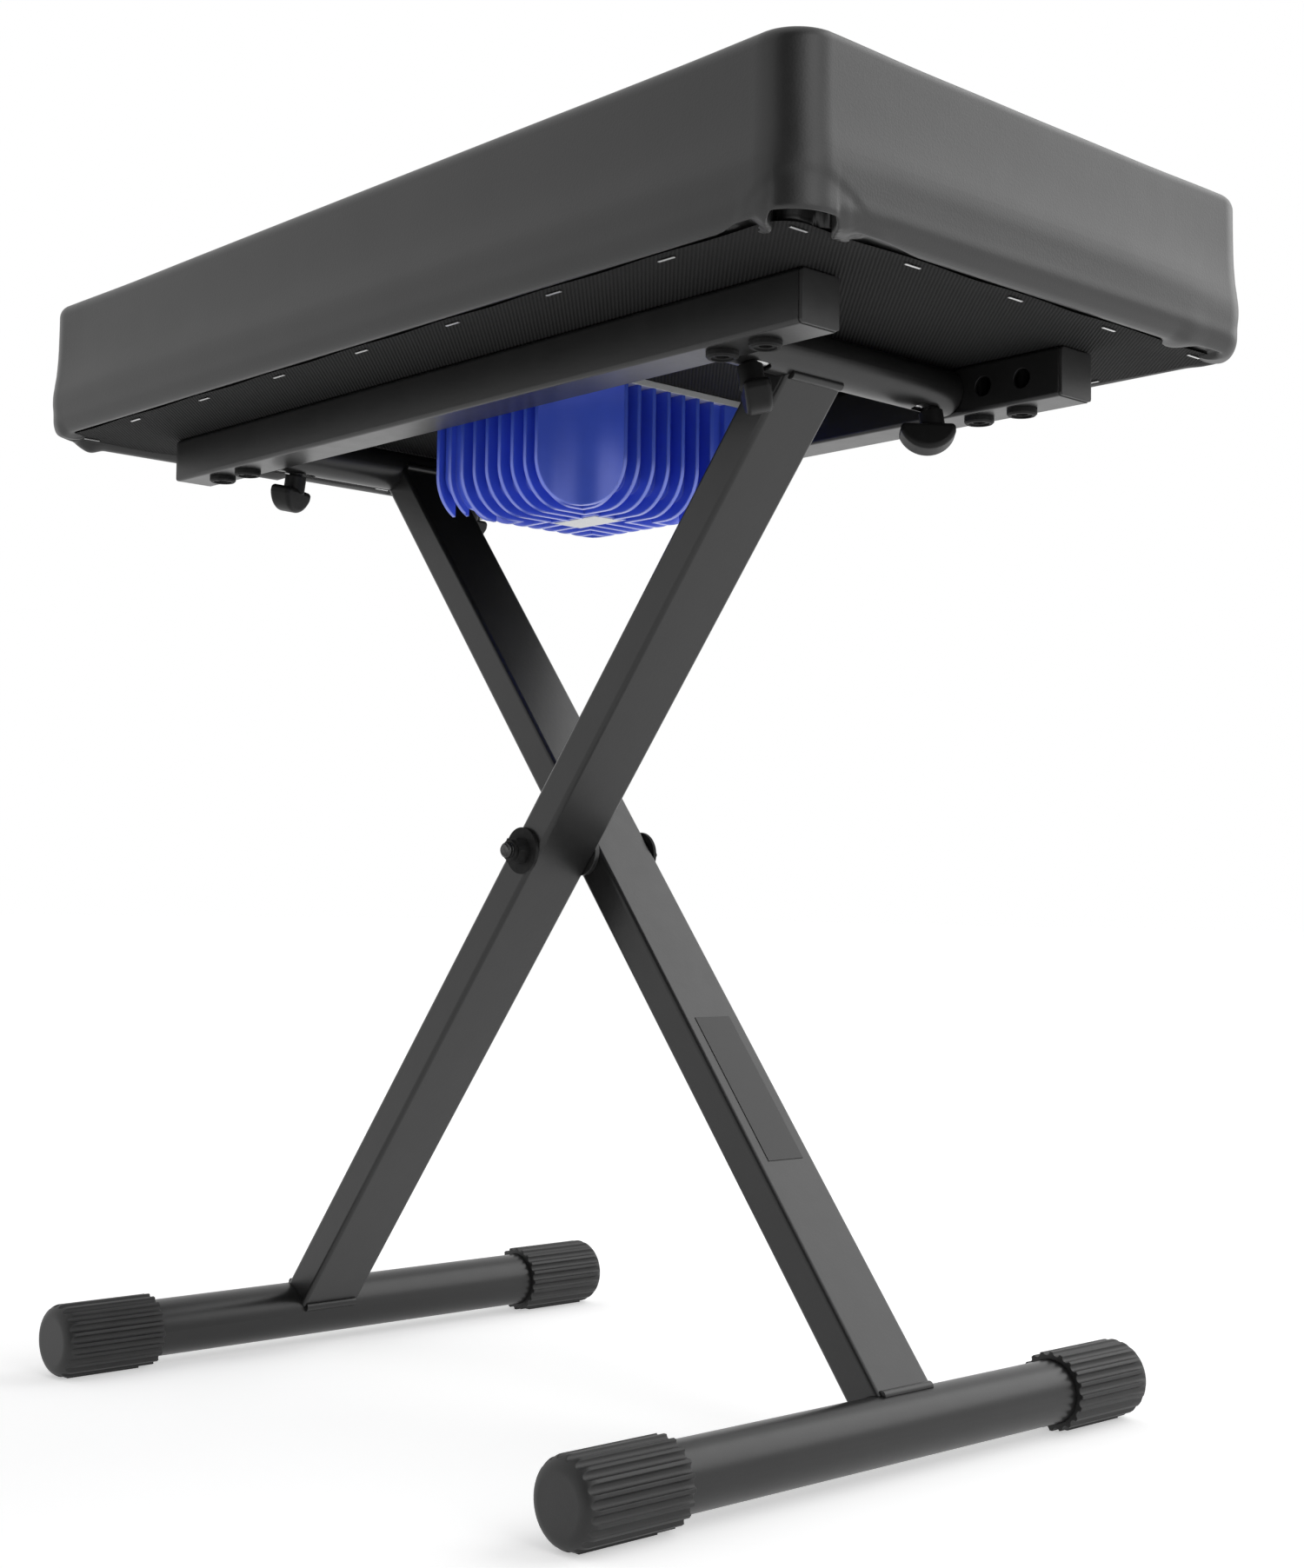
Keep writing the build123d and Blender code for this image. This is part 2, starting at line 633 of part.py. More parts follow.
# Crossed legs: each has a leg tube welded between a foot tube and a top tube
for leg_name, turn in legs:
    foot_x = -turn * foot_span / 2
    top_x = turn * top_span / 2
    leg_y = -turn * leg_middle
    leg_plane = Plane(origin=(foot_x, leg_y, foot_axis), x_dir=(0, 1, 0), z_dir=(turn * leg_dx, 0, leg_dz))

    with BuildPart() as leg_tube:
        with BuildSketch(leg_plane):
            RectangleRounded(leg_depth, leg_thickness, leg_corner)
            RectangleRounded(leg_depth - 2 * leg_wall, leg_thickness - 2 * leg_wall, leg_corner - leg_wall,
                             mode=Mode.SUBTRACT)
        extrude(amount=leg_length)
        with BuildSketch(across(foot_x, 0, foot_axis)):
            Circle(foot_tube_diameter / 2 + weld_gap)
        extrude(amount=leg_outer + overcut, both=True, mode=Mode.SUBTRACT)
        with BuildSketch(across(top_x, 0, top_axis)):
            Circle(top_tube_diameter / 2 + weld_gap)
        extrude(amount=leg_outer + overcut, both=True, mode=Mode.SUBTRACT)
        with BuildSketch(across(0, 0, pivot_height)):
            Circle(pivot_diameter / 2 + running_fit)
        extrude(amount=leg_outer + overcut, both=True, mode=Mode.SUBTRACT)
    save(leg_tube, f"leg_{leg_name}_tube")

    with BuildPart() as foot_tube:
        with BuildSketch(across(foot_x, 0, foot_axis)):
            Circle(foot_tube_diameter / 2)
            Circle(foot_tube_diameter / 2 - foot_tube_wall, mode=Mode.SUBTRACT)
        extrude(amount=foot_length / 2 - cap_end_wall, both=True)
    save(foot_tube, f"foot_tube_{leg_name}")

    with BuildPart() as top_tube:
        with BuildSketch(across(top_x, 0, top_axis)):
            Circle(top_tube_diameter / 2)
            Circle(top_tube_bore / 2, mode=Mode.SUBTRACT)
        extrude(amount=top_tube_end, both=True)
        for end_name, side in ends:
            slot_middle = side * (knob_place - plunger_travel / 2)
            slot_plane = Plane(origin=(top_x, slot_middle, top_axis), x_dir=(0, 1, 0),
                               z_dir=(turn * sin(radians(knob_lean)), 0, -cos(radians(knob_lean))))
            with BuildSketch(slot_plane):
                SlotCenterToCenter(plunger_travel, stud_diameter + 2 * slot_gap)
            extrude(amount=top_tube_diameter, mode=Mode.SUBTRACT)
    save(top_tube, f"top_tube_{leg_name}")

    with BuildPart() as leg_welds:
        for weld_x, weld_z, tube_radius, outwards in (
            (foot_x, foot_axis, foot_tube_diameter / 2, 1),
            (top_x, top_axis, top_tube_diameter / 2, -1),
        ):
            reach = outwards * (tube_radius**2 - leg_thickness**2 / 4) ** 0.5
            for face in (-1, 1):
                bead_x = weld_x + turn * reach * leg_dx - turn * face * leg_thickness / 2 * leg_dz
                bead_z = weld_z + reach * leg_dz + face * leg_thickness / 2 * leg_dx
                with BuildSketch(across(bead_x, -turn * leg_middle, bead_z)):
                    Circle(weld_radius)
                extrude(amount=leg_depth / 2 - leg_corner, both=True)
        for weld_x, weld_z, tube_radius in (
            (foot_x, foot_axis, foot_tube_diameter / 2),
            (top_x, top_axis, top_tube_diameter / 2),
        ):
            with BuildSketch(across(weld_x, 0, weld_z)):
                Circle(tube_radius)
            extrude(amount=leg_outer + overcut, both=True, mode=Mode.SUBTRACT)
        with BuildSketch(leg_plane):
            Rectangle(leg_depth + overcut, leg_thickness)
        extrude(amount=leg_length, mode=Mode.SUBTRACT)
    save(leg_welds, f"leg_{leg_name}_welds")

    with BuildPart() as pivot_sleeve:
        with BuildSketch(across(0, -turn * leg_middle, pivot_height)):
            Circle(sleeve_diameter / 2)
            Circle(pivot_diameter / 2 + running_fit, mode=Mode.SUBTRACT)
        extrude(amount=leg_depth / 2 - leg_wall, both=True)
    save(pivot_sleeve, f"pivot_sleeve_{leg_name}")

    for end_name, side in ends:
        cap_mouth = side * (foot_length / 2 - cap_length)
        with BuildPart() as foot_cap:
            with BuildSketch(across(foot_x, cap_mouth, foot_axis)):
                Circle(cap_radius)
            extrude(amount=side * cap_length)
            closed_end = foot_cap.faces().sort_by(Axis.Y)[0 if side < 0 else -1]
            fillet(closed_end.edges(), cap_edge_radius)
            with BuildSketch(across(foot_x, cap_mouth, foot_axis)):
                with PolarLocations(groove_circle, groove_count, 180 / groove_count):
                    Circle(groove_radius)
            extrude(amount=side * cap_length, mode=Mode.SUBTRACT)
            with BuildSketch(Plane.XY):
                with Locations((foot_x, cap_mouth + side * cap_length / 2)):
                    Rectangle(pad_width, cap_length - 2 * pad_inset)
            extrude(amount=foot_axis)
            with BuildSketch(across(foot_x, cap_mouth, foot_axis)):
                Circle(foot_tube_diameter / 2 + press_fit)
            extrude(amount=side * (cap_length - cap_end_wall), mode=Mode.SUBTRACT)
        save(foot_cap, f"foot_cap_{leg_name}_{end_name}")

    with BuildPart() as plunger_bushes:
        for end_name, side in ends:
            with BuildSketch(across(top_x, side * plunger_shoulder, top_axis)):
                Circle(top_tube_bore / 2 - press_fit)
                Circle(pin_diameter / 2 + running_fit, mode=Mode.SUBTRACT)
            extrude(amount=side * end_bush_length)
    save(plunger_bushes, f"plunger_bushes_{leg_name}")

    with BuildPart() as spring_stops:
        for end_name, side in ends:
            with BuildSketch(across(top_x, side * spring_stop_face, top_axis)):
                Circle(top_tube_bore / 2 - press_fit)
            extrude(amount=-side * spring_stop_thickness)
    save(spring_stops, f"spring_stops_{leg_name}")

    pin_tip = rail_inner + pin_reach if leg_name == "a" else rail_inner - open_pin_gap
    for end_name, side in ends:
        place = f"{leg_name}_{end_name}"
        knob_axis = Plane(origin=(top_x, side * knob_place, top_axis), x_dir=(0, 1, 0),
                          z_dir=(turn * sin(radians(knob_lean)), 0, -cos(radians(knob_lean))))

        with BuildPart() as plunger:
            with BuildSketch(across(top_x, side * slider_end, top_axis)):
                Circle(top_tube_bore / 2 - running_fit)
            extrude(amount=side * slider_length)
            with BuildSketch(across(top_x, side * plunger_shoulder, top_axis)):
                Circle(pin_diameter / 2)
            extrude(amount=side * (pin_tip - plunger_shoulder))
            chamfer(plunger.faces().sort_by(Axis.Y)[0 if side < 0 else -1].edges(), pin_point)
            with BuildSketch(knob_axis.offset(top_tube_bore / 2 - stud_depth)):
                Circle(stud_diameter / 2 + thread_fit)
            extrude(amount=top_tube_diameter, mode=Mode.SUBTRACT)
        save(plunger, f"plunger_{place}")

        with BuildPart() as plunger_spring:
            with BuildSketch(across(top_x, side * spring_stop_face, top_axis)):
                Circle(spring_diameter / 2)
                Circle(spring_diameter / 2 - spring_wire, mode=Mode.SUBTRACT)
            extrude(amount=side * spring_length)
        save(plunger_spring, f"plunger_spring_{place}")

        stem_start = top_tube_diameter / 2 + knob_gap
        head_start = stem_start + knob_stem_length
        head_plane = knob_axis.rotated((0, 0, knob_turn[place]))
        head_sketch = Plane(origin=head_plane.origin, x_dir=head_plane.x_dir, z_dir=head_plane.y_dir)
        half_width = knob_width / 2
        side_end = head_start + knob_shoulder
        head_end = head_start + knob_height
        with BuildPart() as knob:
            with BuildSketch(head_sketch):
                with BuildLine():
                    Line((-half_width, -head_start), (half_width, -head_start))
                    Line((half_width, -head_start), (half_width, -side_end))
                    ThreePointArc((half_width, -side_end), (0, -head_end), (-half_width, -side_end))
                    Line((-half_width, -side_end), (-half_width, -head_start))
                make_face()
            extrude(amount=knob_thickness / 2, both=True)
            fillet(knob.edges(), knob_edge)
            with BuildSketch(knob_axis.offset(stem_start)):
                Circle(knob_stem_diameter / 2)
            extrude(amount=knob_stem_length + knob_edge)
            with BuildSketch(knob_axis.offset(top_tube_bore / 2 - stud_depth)):
                Circle(stud_diameter / 2)
            extrude(amount=stem_start - top_tube_bore / 2 + stud_depth)
        save(knob, f"knob_{place}")

# Pivot: a bolt through both legs, with washers outside and a plastic disc between the legs
pivot_front = -leg_outer - washer_thickness
pivot_rear = leg_outer + rub_gap + washer_thickness
with BuildPart() as pivot_bolt:
    with BuildSketch(across(0, pivot_rear, pivot_height)):
        RegularPolygon(nut_flats / 2, 6, major_radius=False)
    extrude(amount=pivot_head_height)
    with BuildSketch(across(0, pivot_front - nut_height - nut_collar_height - bolt_end, pivot_height)):
        Circle(pivot_diameter / 2)
    extrude(amount=pivot_rear - pivot_front + nut_height + nut_collar_height + bolt_end)
    chamfer(pivot_bolt.faces().sort_by(Axis.Y)[0].edges(), pin_point)
save(pivot_bolt, "pivot_bolt")

with BuildPart() as pivot_nut:
    with BuildSketch(across(0, pivot_front, pivot_height)):
        RegularPolygon(nut_flats / 2, 6, major_radius=False)
    extrude(amount=-nut_height)
    with BuildSketch(across(0, pivot_front - nut_height, pivot_height)):
        Circle(nut_collar_diameter / 2)
    extrude(amount=-nut_collar_height)
    with BuildSketch(across(0, pivot_front, pivot_height)):
        Circle(pivot_diameter / 2 + thread_fit)
    extrude(amount=-nut_height - nut_collar_height, mode=Mode.SUBTRACT)
save(pivot_nut, "pivot_nut")

with BuildPart() as pivot_washers:
    for washer_y in (pivot_front, pivot_rear - washer_thickness):
        with BuildSketch(across(0, washer_y, pivot_height)):
            Circle(washer_diameter / 2)
            Circle(pivot_diameter / 2 + thread_fit, mode=Mode.SUBTRACT)
        extrude(amount=washer_thickness)
save(pivot_washers, "pivot_washers")

with BuildPart() as pivot_spacer:
    with BuildSketch(across(0, -leg_gap / 2, pivot_height)):
        Circle(spacer_diameter / 2)
        Circle(pivot_diameter / 2 + running_fit, mode=Mode.SUBTRACT)
    extrude(amount=leg_gap - rub_gap)
save(pivot_spacer, "pivot_spacer")

# Bare label place on leg B's upper face
with BuildPart() as leg_label:
    label_x = -top_span / 2 + leg_label_from_top * leg_dx + leg_thickness / 2 * leg_dz
    label_z = top_axis - leg_label_from_top * leg_dz + leg_thickness / 2 * leg_dx
    label_face = Plane(origin=(label_x, leg_middle, label_z), x_dir=(0, 1, 0), z_dir=(leg_dz, 0, leg_dx))
    with BuildSketch(label_face):
        Rectangle(leg_label_width, leg_label_length)
    extrude(amount=leg_label_thickness)
save(leg_label, "leg_label")

leg_slope = degrees(atan2(leg_rise, leg_run))
print(f"leg slope {leg_slope:.3f} degrees, pivot {pivot_height:.3f}, seat top {seat_top:.2f}")
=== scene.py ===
import json
from math import cos, pi, radians, sin

import bpy
import numpy as np
from mathutils import Matrix, Vector
from mathutils.kdtree import KDTree


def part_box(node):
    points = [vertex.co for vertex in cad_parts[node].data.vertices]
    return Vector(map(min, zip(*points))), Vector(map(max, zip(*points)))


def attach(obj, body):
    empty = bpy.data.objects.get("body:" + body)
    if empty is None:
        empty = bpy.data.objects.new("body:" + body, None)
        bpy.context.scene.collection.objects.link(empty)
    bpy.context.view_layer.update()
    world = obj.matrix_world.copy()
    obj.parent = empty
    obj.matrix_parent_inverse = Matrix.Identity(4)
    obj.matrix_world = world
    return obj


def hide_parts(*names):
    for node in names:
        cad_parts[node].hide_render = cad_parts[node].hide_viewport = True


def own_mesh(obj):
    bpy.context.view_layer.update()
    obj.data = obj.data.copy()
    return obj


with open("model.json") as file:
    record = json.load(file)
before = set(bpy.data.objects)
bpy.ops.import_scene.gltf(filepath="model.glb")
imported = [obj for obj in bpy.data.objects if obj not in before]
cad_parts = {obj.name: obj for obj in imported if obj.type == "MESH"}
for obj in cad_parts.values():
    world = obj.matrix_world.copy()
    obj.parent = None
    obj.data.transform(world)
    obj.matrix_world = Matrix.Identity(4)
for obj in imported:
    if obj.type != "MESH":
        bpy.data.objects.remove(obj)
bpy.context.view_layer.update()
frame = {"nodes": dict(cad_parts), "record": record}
nodes = frame["nodes"]
scene = bpy.context.scene

# The bench as the photograph shows it: materials, cushion, dust cloth and springs, then stage and camera

MM = 0.001

# Sizes repeated from the solids, in metres
SEAT_HALF = (0.315, 0.1695)
SEAT_LOW = 0.5442
SEAT_CORNER = 0.024
BOARD_HALF = (0.3136, 0.1681)
BOARD_CORNER = 0.080
DUST_HALF = (0.300, 0.1595)
DUST_CORNER = 0.014
RAIL_TOP = 0.5436
TOP_AXIS = 0.5311
TOP_HALF = 0.1868
SPRING_STOP = 0.0343
SPRING_LENGTH = 0.020
SPRING_RADIUS = 0.0067
SPRING_WIRE = 0.0016

# Sizes that only the scene has
SEAT_HEIGHT = 0.0790         # 0.6 mm more than the solid's, as the padding stands up in the photograph
SPRING_COILS = 6.5
MASS_WIRE = 0.0015
MASS_COILS = 2.5


# Materials

class Nodes:
    """A material's node tree, with short calls for what the materials below need"""

    def __init__(self, name):
        self.material = bpy.data.materials.new(name)
        self.material.use_nodes = True
        self.tree = self.material.node_tree
        self.shader = self.tree.nodes["Principled BSDF"]
        self.place = self.add("ShaderNodeTexCoord").outputs["Object"]

    def add(self, kind, **values):
        node = self.tree.nodes.new(kind)
        for key, value in values.items():
            setattr(node, key, value)
        return node

    def join(self, source, target):
        self.tree.links.new(source, target)

    def mapped(self, scale=(1, 1, 1), turn=(0, 0, 0)):
        node = self.add("ShaderNodeMapping")
        node.inputs["Scale"].default_value = scale
        node.inputs["Rotation"].default_value = turn
        self.join(self.place, node.inputs["Vector"])
        return node.outputs["Vector"]

    def noise(self, scale, detail=3.0, rough=0.55, vector=None):
        node = self.add("ShaderNodeTexNoise")
        node.inputs["Scale"].default_value = scale
        node.inputs["Detail"].default_value = detail
        node.inputs["Roughness"].default_value = rough
        self.join(vector or self.place, node.inputs["Vector"])
        return node.outputs["Fac"]

    def cells(self, scale):
        node = self.add("ShaderNodeTexVoronoi")
        node.inputs["Scale"].default_value = scale
        self.join(self.place, node.inputs["Vector"])
        return node.outputs["Distance"]

    def bands(self, scale, axis, distort=0.0, vector=None):
        node = self.add("ShaderNodeTexWave", wave_type="BANDS", bands_direction=axis)
        node.inputs["Scale"].default_value = scale
        node.inputs["Distortion"].default_value = distort
        node.inputs["Detail"].default_value = 1.0
        self.join(vector or self.place, node.inputs["Vector"])
        return node.outputs["Fac"]

    def ramp(self, source, low, high, low_colour, high_colour):
        node = self.add("ShaderNodeValToRGB")
        first, last = node.color_ramp.elements
        first.position, last.position = low, high
        first.color = (*low_colour, 1)
        last.color = (*high_colour, 1)
        self.join(source, node.inputs["Fac"])
        return node.outputs["Color"]

    def range(self, source, low, high):
        node = self.add("ShaderNodeMapRange")
        node.inputs["To Min"].default_value = low
        node.inputs["To Max"].default_value = high
        self.join(source, node.inputs["Value"])
        return node.outputs["Result"]

    def bump(self, height, strength, distance, normal=None):
        node = self.add("ShaderNodeBump")
        node.inputs["Strength"].default_value = strength
        node.inputs["Distance"].default_value = distance
        self.join(height, node.inputs["Height"])
        if normal:
            self.join(normal, node.inputs["Normal"])
        return node.outputs["Normal"]

    def soft_edges(self, radius):
        node = self.add("ShaderNodeBevel", samples=6)
        node.inputs["Radius"].default_value = radius
        return node.outputs["Normal"]

    def set(self, **values):
        for key, value in values.items():
            socket = self.shader.inputs[key.replace("_", " ")]
            if isinstance(value, bpy.types.NodeSocket):
                self.join(value, socket)
            else:
                socket.default_value = value


def shade(level):
    return (level, level, level)


def vinyl():
    m = Nodes("vinyl")
    grain = m.cells(900)
    fine = m.noise(2600, 2.0)
    sag = m.noise(9, 2.0)
    normal = m.bump(grain, 0.10, 0.0003)
    normal = m.bump(fine, 0.08, 0.0002, normal)
    normal = m.bump(sag, 0.12, 0.004, normal)
    m.set(Base_Color=m.ramp(m.noise(30, 4.0), 0.3, 0.7, shade(0.014), shade(0.018)),
          Roughness=m.range(m.noise(60, 4.0), 0.35, 0.43), Specular_IOR_Level=0.47, Normal=normal)
    return m.material


def dust_cloth():
    m = Nodes("dust_cloth")
    along = m.mapped(turn=(0, 0, radians(-47)))
    ribs = m.bands(175, "X", 0.6, along)
    fibre = m.noise(1800, 3.0)
    normal = m.bump(ribs, 0.55, 0.0006)
    normal = m.bump(fibre, 0.35, 0.0003, normal)
    # The colour follows the ribs and is darker in their valleys: painted shade between the ribs
    m.set(Base_Color=m.ramp(ribs, 0.2, 0.8, shade(0.003), shade(0.010)), Roughness=0.85,
          Specular_IOR_Level=0.2, Normal=normal)
    return m.material


def powder_coat():
    m = Nodes("black_steel")
    peel = m.noise(520, 2.0)
    fine = m.noise(2400, 2.0)
    normal = m.bump(peel, 0.10, 0.0003, m.soft_edges(0.0006))
    normal = m.bump(fine, 0.10, 0.0001, normal)
    m.set(Base_Color=m.ramp(m.noise(40, 4.0), 0.3, 0.7, shade(0.008), shade(0.0104)),
          Roughness=m.range(m.noise(90, 4.0), 0.29, 0.38), Specular_IOR_Level=0.46, Normal=normal)
    return m.material


def plastic(name, level, gloss):
    m = Nodes(name)
    texture = m.noise(1500, 3.0)
    normal = m.bump(texture, 0.14, 0.0002, m.soft_edges(0.0008))
    m.set(Base_Color=m.ramp(m.noise(120, 3.0), 0.3, 0.7, shade(level), shade(1.35 * level)),
          Roughness=m.range(m.noise(200, 3.0), 0.36, 0.48), Specular_IOR_Level=gloss, Normal=normal)
    return m.material


def rubber():
    m = Nodes("rubber")
    texture = m.noise(900, 3.0)
    dust = m.noise(70, 5.0)
    normal = m.bump(texture, 0.2, 0.0003, m.soft_edges(0.0008))
    m.set(Base_Color=m.ramp(dust, 0.35, 0.75, shade(0.009), shade(0.018)),
          Roughness=m.range(dust, 0.42, 0.54), Specular_IOR_Level=0.45, Normal=normal)
    return m.material


def blue_coat():
    m = Nodes("blue_coat")
    cast = m.noise(300, 3.0)
    normal = m.bump(cast, 0.10, 0.0004, m.soft_edges(0.0011))
    m.set(Base_Color=m.ramp(m.noise(25, 4.0), 0.3, 0.7, (0.046, 0.106, 0.70), (0.058, 0.130, 0.80)),
          Roughness=m.range(m.noise(120, 4.0), 0.30, 0.42), Metallic=0.15, Specular_IOR_Level=1.0,
          Coat_Weight=0.8, Coat_Roughness=0.3, Normal=normal)
    return m.material


def metal(name, colour, low, high, stretch=(1, 1, 1), metallic=1.0):
    m = Nodes(name)
    brush = m.noise(700, 3.0, 0.6, m.mapped(stretch))
    normal = m.bump(brush, 0.08, 0.0001, m.soft_edges(0.0004))
    worn = tuple(0.8 * c for c in colour)
    m.set(Base_Color=m.ramp(brush, 0.3, 0.7, worn, colour), Roughness=m.range(brush, low, high),
          Metallic=metallic, Normal=normal)
    return m.material


def bolt_black():
    m = Nodes("bolt_black")
    thread = m.bands(400, "Y")
    wear = m.noise(240, 4.0)
    normal = m.bump(wear, 0.15, 0.0002, m.soft_edges(0.0005))
    m.set(Base_Color=m.ramp(wear, 0.35, 0.8, shade(0.008), shade(0.02)),
          Roughness=m.range(thread, 0.55, 0.68), Specular_IOR_Level=0.16, Normal=normal)
    return m.material


def threaded():
    m = Nodes("threaded")
    thread = m.bands(126, "Y")
    wear = m.noise(300, 4.0)
    normal = m.bump(thread, 0.8, 0.0006, m.soft_edges(0.0004))
    m.set(Base_Color=m.ramp(wear, 0.3, 0.8, shade(0.03), shade(0.10)), Metallic=0.8,
          Roughness=0.38, Normal=normal)
    return m.material


def wood():
    m = Nodes("board_ply")
    grain = m.noise(60, 5.0, 0.6, m.mapped((1, 9, 9)))
    m.set(Base_Color=m.ramp(grain, 0.3, 0.7, (0.33, 0.22, 0.12), (0.50, 0.36, 0.22)), Roughness=0.7,
          Normal=m.bump(grain, 0.2, 0.0004))
    return m.material


def foam():
    m = Nodes("foam")
    pores = m.cells(700)
    # The colour follows the pores and is darker in their hollows: painted shade in the pores
    m.set(Base_Color=m.ramp(pores, 0.2, 0.7, (0.45, 0.40, 0.26), (0.68, 0.62, 0.45)), Roughness=0.95,
          Normal=m.bump(pores, 0.5, 0.0008))
    return m.material


def label_film():
    m = Nodes("label_film")
    scuff = m.noise(400, 4.0, 0.6, m.mapped((1, 4, 1)))
    normal = m.bump(scuff, 0.05, 0.0001, m.soft_edges(0.0003))
    m.set(Base_Color=m.ramp(scuff, 0.3, 0.8, shade(0.005), shade(0.009)),
          Roughness=m.range(scuff, 0.34, 0.46), Specular_IOR_Level=0.36, Normal=normal)
    return m.material


MATERIALS = {
    "vinyl": vinyl(),
    "foam": foam(),
    "plywood": wood(),
    "dust_cloth": dust_cloth(),
    "bright_steel": metal("bright_steel", shade(0.66), 0.24, 0.36, (1, 6, 1)),
    "black_steel": powder_coat(),
    "black_fastener": bolt_black(),
    "black_plastic": plastic("black_plastic", 0.015, 0.45),
    "black_rubber": rubber(),
    "blue_paint": blue_coat(),
    "silver_plate": metal("silver_plate", (0.74, 0.75, 0.76), 0.34, 0.46, (1, 8, 8), metallic=0.35),
    "iron": metal("iron", shade(0.2), 0.5, 0.6),
    "bronze": metal("bronze", (0.55, 0.38, 0.16), 0.3, 0.4),
    "dark_patch": label_film(),
}


def dress(piece, material):
    piece.data.materials.clear()
    piece.data.materials.append(material)


SLOT_OF = {row["node"]: row["material_slot"] for row in frame["record"]["subparts"]}
BOLT_THREAD = threaded()
KNOB_PLASTIC = plastic("knob_plastic", 0.006, 0.18)
for name, piece in nodes.items():
    if name == "pivot_bolt":
        dress(piece, BOLT_THREAD)
    elif name.startswith("knob_"):
        dress(piece, KNOB_PLASTIC)
    else:
        dress(piece, MATERIALS[SLOT_OF[name]])

# Cushion: rows run round the seat, and each row is a curve from the hem, up the side and over the top

# A row's lower curve from its side, under the board, to the hem: (inset, height) in millimetres
HEM = {
    "end": [(0, 30), (0, 24), (0.4, 18), (0.8, 12.5), (1, 8.5), (1.35, 6.2), (2.2, 3.8), (3.6, 1.6),
            (5.4, -0.2), (7.6, -1.2), (9.4, -1.5), (11.4, -1.2), (13, -0.4), (14.3, 0.3), (17, 0.6),
            (22, 0.6), (29, 0.6), (36, 0.6)],
    "low_end": [(0, 30), (0, 24), (0.4, 18), (0.8, 12.5), (1, 8.5), (1.35, 6), (2.1, 3.2), (3.4, 0.4),
                (5.2, -2), (7.4, -3.5), (9.2, -3.8), (11.2, -3.2), (13, -1.5), (14.3, 0.2), (17, 0.6),
                (22, 0.6), (29, 0.6), (36, 0.6)],
    "drop": [(0, 30), (0, 24), (0.4, 18), (0.8, 12.5), (1, 8.5), (1.3, 5.6), (2, 2.2), (3.2, -1.4), (4.8, -4),
             (6.9, -5.7), (9, -6.2), (11.2, -5), (13, -2.4), (14.3, 0), (17, 0.6), (22, 0.6), (29, 0.6),
             (36, 0.6)],
    "side": [(0, 30), (0, 24), (0.4, 18), (0.8, 12.5), (1, 8.5), (1.3, 6.2), (2, 4), (3, 2), (4.2, 0.6),
             (5.6, -0.4), (7, -0.7), (8.2, -0.4), (9.3, 0.2), (10.5, 0.5), (14, 0.6), (20, 0.6), (28, 0.6),
             (36, 0.6)],
    "pocket": [(0, 30), (0, 24), (0.3, 18), (0.5, 12.5), (0.6, 8), (0.9, 4.6), (1.3, 2.3), (2.2, 1.2),
               (3.5, 1.6), (5.2, 3), (6.8, 5.8), (8.4, 9), (11, 11.5), (14, 12), (16.5, 9), (18, 4.5),
               (20.5, 1.2), (36, 0.6)],
    "lip": [(0, 30), (0, 24), (0.4, 18), (0.7, 12.5), (0.8, 8.5), (1.1, 6), (1.8, 3.4), (3, 0.8), (4.8, -1.4),
            (7.2, -2.4), (10, -2.8), (13, -2.8), (16, -2.3), (18.6, -1.3), (20.2, 0), (24, 0.6), (31, 0.6),
            (36, 0.6)],
    "hollow": [(0, 30), (0, 24), (0.4, 18), (0.8, 12.5), (1, 8.5), (1.3, 6.2), (2, 3.8), (3, 1.6),
               (4.2, -0.2), (5.6, -1.2), (6.9, -1), (7.9, 0), (8.8, 0.9), (12, 0.9), (18, 0.8), (25, 0.6),
               (31, 0.6), (36, 0.6)],
    "pucker": [(0, 30), (0, 24), (0.4, 18), (0.7, 12.5), (0.9, 8.5), (1.2, 6), (1.8, 3.6), (2.6, 1.6),
               (3.6, 0.5), (4.8, 0.4), (5.9, 1.2), (7, 2.6), (9, 3), (11, 2), (13, 1), (20, 0.6), (30, 0.6),
               (36, 0.6)],
}
# Along the rim from each corner's middle, in millimetres: where each of these curves holds
NEAR_CORNER = [(-28, "side"), (-21.5, "pucker"), (-15.5, "pucker"), (-12, "lip"), (-10.4, "lip"),
               (-7, "pocket"), (20.5, "pocket"), (23.5, "lip"), (27, "lip"), (32, "hollow"), (42, "hollow"),
               (58, "end")]
FAR_CORNER = [(-60, "low_end"), (-36, "low_end"), (-26, "drop"), (-12, "end"), (-4, "pucker"), (3, "pucker"),
              (12, "lip"), (16, "lip"), (26, "side")]
TUCKED_CORNER = [(-62, "end"), (-48, "lip"), (-34, "hollow"), (-20, "hollow"), (-8, "lip"), (6, "lip"),
                 (14, "hollow"), (22, "hollow"), (34, "side")]
# A pleat at a near corner opens out under the seat: its curves fan out from this place on the rim
FAN_MIDDLE, FAN_DEPTH = 7, 16

# Corners in order from +X -Y, anticlockwise seen from above; the rim grows the same way
CORNERS = [NEAR_CORNER, TUCKED_CORNER, NEAR_CORNER, FAR_CORNER]
SIGNS = [(1, -1), (1, 1), (-1, 1), (-1, -1)]
ARC = SEAT_CORNER * pi / 2
FINE, COARSE, FINE_REACH = 0.9 * MM, 6 * MM, 66 * MM
INNER_RADIUS, INNER_SHARE = 4 * MM, 0.8      # the least corner radius, also as a share of the half width left
HEM_TOP = 30 * MM            # the lower curve ends and the plain side begins
SIDE_STEPS, BEND_STEPS = 9, 13
EDGE_LONG, EDGE_EASE = 8.5, 3.0      # the top edge's radius on a long side, and how much less on a short one
